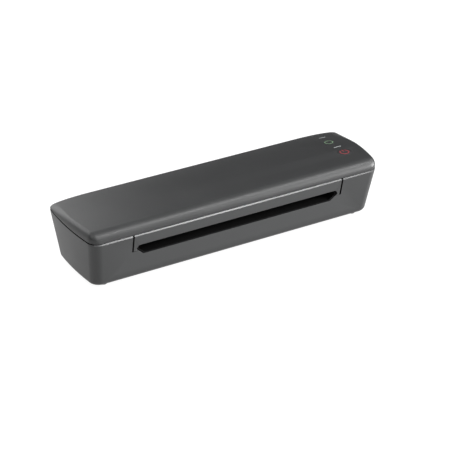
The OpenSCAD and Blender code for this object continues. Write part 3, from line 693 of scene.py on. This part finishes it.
def top_cover():
    shell = cover_solid("cover_shell", 0.0)
    boolean(shell, cover_solid("cutter", WALL))
    place = (POWER_LOW + POWER_HIGH) / 2
    ends = [(place.x, place.y, z) for z in BUTTON_CUT]
    boolean(shell, cylinder_cutter(*ends, BUTTON_HOLE_RADIUS, ROUND_STEPS))
    shade(shell)
    dress(shell, "case_plastic", "casing", "top_cover")
    # Painted shade: the cover's underside along the seam is painted black.
    paint(shell, BLACK_AND_PAINTED_SHADE, lambda c, n: n.z < -0.9 and c.z < SEAM + 2 * MM)


def mouth_liner(name, node, wall_at, outward):
    """Black funnel behind a slot mouth, down to the depth of its CAD node."""
    low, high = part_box(node)
    inner = high.y if outward < 0 else low.y
    rings = []
    for share in FUNNEL_STEPS:
        ease = share**FUNNEL_EASE
        ring = []
        for x, z in mouth_outline(-FUNNEL_CLEARANCE):
            to_x = max(-THROAT_HALF, min(THROAT_HALF, x)) - x
            to_z = max(NIP - THROAT, min(NIP + THROAT, z)) - z
            face = wall_at(z) - outward * FUNNEL_INSET
            ring.append((x + to_x * ease, face + (inner - face) * share, z + to_z * ease))
        rings.append(ring)
    liner = new_object(name, loft(rings, close=False), smooth_angle=60)
    thick = liner.modifiers.new("thickness", "SOLIDIFY")
    thick.thickness = FUNNEL_WALL
    thick.offset = 1
    bake_modifiers(liner)
    shade(liner, smooth_angle=50)
    dress(liner, "mouth_plastic", "casing")


# ---- controls ----


def power_button():
    place = (POWER_LOW + POWER_HIGH) / 2
    rings = []
    for radius, lift in BUTTON_PROFILE:
        ring = []
        for i in range(ROUND_STEPS):
            turn = 2 * math.pi * i / ROUND_STEPS
            x = place.x + radius * MM * math.cos(turn)
            y = place.y + radius * MM * math.sin(turn)
            ring.append((x, y, crown_z(y) + lift * MM))
        rings.append(ring)
    dress(new_object("button_cap", loft(rings)), "case_plastic", "button", "power_button")


def flat_mark(name, outlines, lift, thick, slot, body, *nodes):
    """Thin mark that lies on the cover: each outline is a list of (x, y)."""
    bm = bmesh.new()
    for points in outlines:
        top = [bm.verts.new((x, y, crown_z(y) + lift)) for x, y in points]
        foot = [bm.verts.new((x, y, crown_z(y) + lift - thick)) for x, y in points]
        bm.faces.new(top)
        bm.faces.new(list(reversed(foot)))
        for i in range(len(points)):
            j = (i + 1) % len(points)
            bm.faces.new((foot[i], foot[j], top[j], top[i]))
    return dress(new_object(name, bm), slot, body, *nodes)


def arc_band(centre, radius, width, start, end):
    """Short quads that follow an arc, as separate outlines; angles in degrees from +Y."""
    bands = []
    pieces = int((end - start) / ARC_STEP)
    for k in range(pieces):
        a0 = math.radians(start + (end - start) * k / pieces)
        a1 = math.radians(start + (end - start) * (k + 1) / pieces)
        corners = [
            (radius - width / 2, a0),
            (radius + width / 2, a0),
            (radius + width / 2, a1),
            (radius - width / 2, a1),
        ]
        bands.append(
            [(centre.x + r * math.sin(a), centre.y + r * math.cos(a)) for r, a in corners]
        )
    return bands


def bar(x0, y0, x1, y1):
    return [(x0, y0), (x1, y0), (x1, y1), (x0, y1)]


def controls():
    power = (POWER_LOW + POWER_HIGH) / 2
    ready = (READY_LOW + READY_HIGH) / 2
    power_radius = (POWER_HIGH.x - POWER_LOW.x) / 2 - SYMBOL_INSET
    symbol = arc_band(power, power_radius, SYMBOL_WIDTH, SYMBOL_GAP, 360 - SYMBOL_GAP)
    left, right = power.x - SYMBOL_WIDTH / 2, power.x + SYMBOL_WIDTH / 2
    symbol.append(bar(left, power.y + SYMBOL_BAR[0], right, power.y + SYMBOL_BAR[1]))
    flat_mark("power_symbol", symbol, 0.0, LENS_THICKNESS, "red_lens", "button", "power_ring_lens")
    ring = arc_band(ready, READY_RADIUS, READY_WIDTH, 0, 360)
    flat_mark(
        "ready_ring", ring, MARK_LIFT, LENS_THICKNESS, "green_lens", "casing", "ready_ring_lens"
    )
    for name, place, forward, width in (
        ("ready_print", ready + Vector((3 * MM, 0, 0)), 17.2 * MM, 8.3 * MM),
        ("power_print", power + Vector((1.4 * MM, 0, 0)), 15.4 * MM, 9.2 * MM),
    ):
        dashes = []
        for k in range(DASHES):
            x = place.x - width / 2 + width * k / DASHES
            y = place.y + forward
            dashes.append(bar(x, y, x + width / DASHES - DASH_GAP, y + DASH_DEPTH))
        mark = flat_mark(name, dashes, MARK_LIFT, PRINT_THICKNESS, "case_plastic", "casing")
        mark.data.materials.clear()
        mark.data.materials.append(PRINT)


# ---- pressure springs ----


def pressure_springs():
    """Two coil springs, built at one length; on the machine they shorten while the upper bushes rise."""
    low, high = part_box("pressure_springs")
    centre = high.x - SPRING_RADIUS - SPRING_WIRE
    foot, top = low.z + SPRING_WIRE, high.z - SPRING_WIRE
    count = round(SPRING_TURNS * SPRING_STEPS)
    rings = []
    for i in range(count + 1):
        turn = 2 * math.pi * i / SPRING_STEPS
        ring = []
        for k in range(WIRE_SIDES):
            angle = 2 * math.pi * k / WIRE_SIDES
            r = SPRING_RADIUS + SPRING_WIRE * math.cos(angle)
            z = foot + (top - foot) * i / count + SPRING_WIRE * math.sin(angle)
            ring.append((centre + r * math.cos(turn), r * math.sin(turn), z))
        rings.append(ring)
    bm = loft(rings)
    other = bmesh.ops.duplicate(bm, geom=bm.verts[:] + bm.edges[:] + bm.faces[:])["geom"]
    moved = [g for g in other if isinstance(g, bmesh.types.BMVert)]
    bmesh.ops.translate(bm, verts=moved, vec=(-2 * centre, 0, 0))
    springs = new_object("spring_coils", bm, smooth_angle=60)
    dress(springs, "zinc_steel", "casing", "pressure_springs")
    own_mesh(springs)


# ---- CAD nodes that stay ----


def dress_nodes():
    """Gives every CAD node its slot's material, and rounds the edges of three that show."""
    slots = {s["node"]: s["material_slot"] for s in frame["record"]["subparts"]}
    for name, obj in frame["nodes"].items():
        obj.data.materials.clear()
        obj.data.materials.append(SLOT_MATERIALS[slots[name]])
    for name in ("rubber_feet", "cord_gland", "release_lever"):
        soften(frame["nodes"][name], SOFT_EDGE)


# ---- stage, lights and camera ----


def area_light(name, place, target, size, power):
    """Soft rectangular light that the camera doesn't see."""
    data = bpy.data.lights.new(name, "AREA")
    data.shape = "RECTANGLE"
    data.size, data.size_y = size
    data.energy = power
    obj = bpy.data.objects.new(name, data)
    obj.location = place
    obj.rotation_euler = (Vector(target) - Vector(place)).to_track_quat("-Z", "Y").to_euler()
    obj.visible_camera = False
    bpy.context.scene.collection.objects.link(obj)


def stage():
    """Plain white floor: the camera and the glossy casing see it lit, and it casts little light."""
    bm = bmesh.new()
    bmesh.ops.create_grid(bm, x_segments=8, y_segments=8, size=6)
    floor = new_object("floor", bm)
    paper = material("floor_white", (0.16, 0.16, 0.16), 0.9, grain=0.05, tone=0.004)
    nodes, links = paper.node_tree.nodes, paper.node_tree.links
    shader = nodes["Principled BSDF"]
    shader.inputs["Emission Color"].default_value = (1, 1, 1, 1)
    seen = nodes.new("ShaderNodeLightPath")
    total = None
    for ray, amount in (("Is Camera Ray", 0.9), ("Is Glossy Ray", 0.8)):
        lift = nodes.new("ShaderNodeMath")
        lift.operation = "MULTIPLY_ADD"
        lift.inputs[1].default_value = amount
        lift.inputs[2].default_value = 0.0
        links.new(seen.outputs[ray], lift.inputs[0])
        if total:
            links.new(total, lift.inputs[2])
        total = lift.outputs["Value"]
    links.new(total, shader.inputs["Emission Strength"])
    floor.data.materials.append(paper)


def lights():
    """Dark room that grows paler overhead, with four soft panels."""
    world = bpy.data.worlds.new("studio")
    world.use_nodes = True
    bpy.context.scene.world = world
    nodes, links = world.node_tree.nodes, world.node_tree.links
    sky = nodes["Background"]
    sky.inputs["Strength"].default_value = 1.0
    direction = nodes.new("ShaderNodeTexCoord")
    parts = nodes.new("ShaderNodeSeparateXYZ")
    fade = nodes.new("ShaderNodeValToRGB")
    fade.color_ramp.elements[0].position = 0.3
    fade.color_ramp.elements[0].color = (0.03, 0.03, 0.031, 1)
    fade.color_ramp.elements[1].position = 1.0
    fade.color_ramp.elements[1].color = (0.6, 0.6, 0.6, 1)
    links.new(direction.outputs["Generated"], parts.inputs["Vector"])
    links.new(parts.outputs["Z"], fade.inputs["Fac"])
    links.new(fade.outputs["Color"], sky.inputs["Color"])
    area_light("back_left_panel", (-0.35, 0.5, 0.38), (-0.2, 0, 0.08), (0.9, 0.5), 3.9)
    area_light("upper_left_panel", (-0.95, -0.4, 1.0), (-0.17, -0.05, 0.06), (0.9, 0.9), 5)
    area_light("front_box", (2.6, -1.7, 0.7), (0, 0, 0.03), (1.5, 1.0), 185)
    area_light("brow_strip", (0.75, -1.0, 1.5), (0, 0, 0.05), (2.2, 0.24), 27)


def camera():
    """The photograph's view, fitted to the casing's outline."""
    data = bpy.data.cameras.new("camera")
    data.lens = 127.35
    data.sensor_width = 36
    data.clip_start, data.clip_end = 0.05, 50
    obj = bpy.data.objects.new("camera", data)
    azimuth, elevation, distance = math.radians(-29.2), math.radians(30.0), 1.7665
    back = Vector(
        (
            math.sin(azimuth) * math.cos(elevation),
            -math.cos(azimuth) * math.cos(elevation),
            math.sin(elevation),
        )
    )
    target = Vector((15.6 * MM, 9.7 * MM, 0))
    obj.location = target + back * distance
    obj.rotation_euler = (-back).to_track_quat("-Z", "Y").to_euler()
    bpy.context.scene.collection.objects.link(obj)
    bpy.context.scene.camera = obj
    bpy.context.scene.view_settings.view_transform = "Standard"


camera()
lights()
stage()
dress_nodes()
lower_housing()
front_visor()
top_cover()
mouth_liner("exit_funnel", "exit_mouth", front_y, -1)
mouth_liner("entry_funnel", "entry_mouth", back_y, 1)
power_button()
controls()
pressure_springs()
